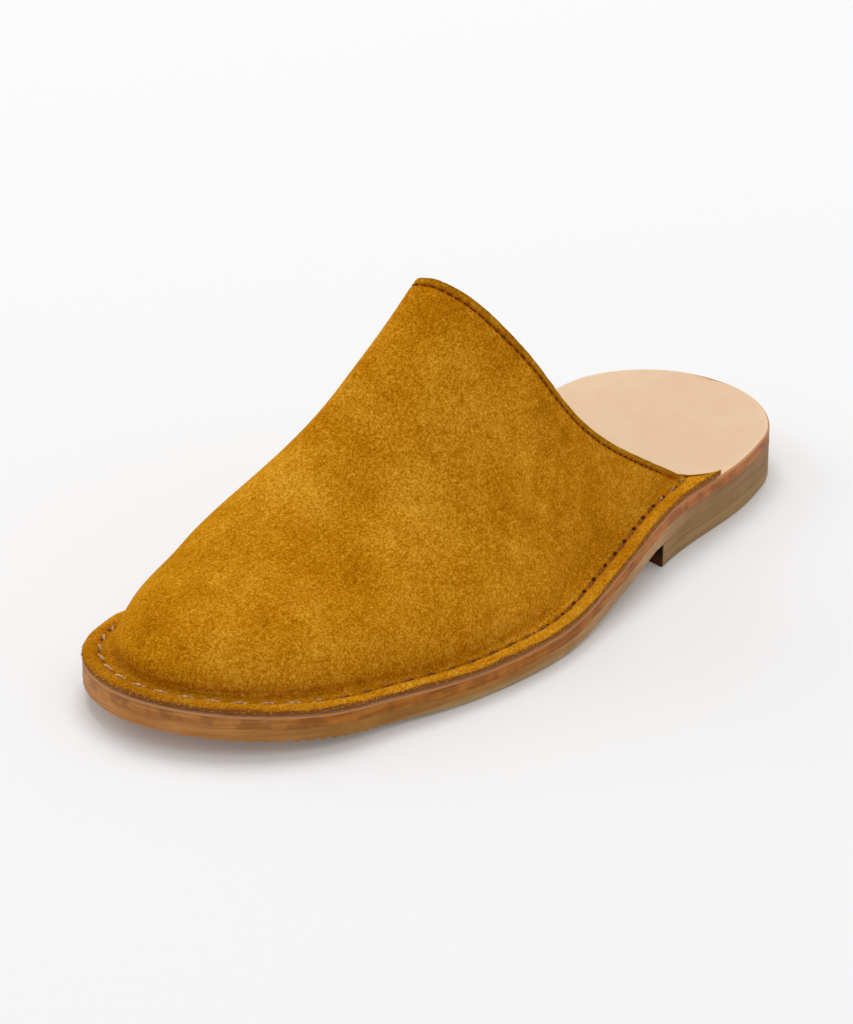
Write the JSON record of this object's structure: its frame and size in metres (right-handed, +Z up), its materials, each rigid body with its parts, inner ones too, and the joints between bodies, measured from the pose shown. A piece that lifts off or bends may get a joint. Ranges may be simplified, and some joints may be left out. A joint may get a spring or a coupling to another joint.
{
  "type": "slipper",
  "caption": "Backless leather slipper for the left foot: suede upper turned out and stitched down over an insole, rubber outsole and low stacked heel.",
  "frame": {"origin": "on the floor, under the middle of the sole's outline box", "axes": "+Z up, the toe towards -Y, the outer side of the left foot towards +X"},
  "size_m": [0.1047, 0.275, 0.0915],
  "materials": {
    "suede": "golden brown suede with a short brushed nap",
    "insole_leather": "smooth natural vegetable tanned leather, burnished reddish brown at its edge",
    "outsole_rubber": "matt brown rubber",
    "heel_leather": "waxed grey brown edge",
    "top_piece_rubber": "matt golden brown rubber"
  },
  "bodies": {
    "root": {"upper": "suede", "insole": "insole_leather", "outsole": "outsole_rubber", "heel_lift": "heel_leather", "heel_top_piece": "top_piece_rubber"}
  },
  "joints": []
}
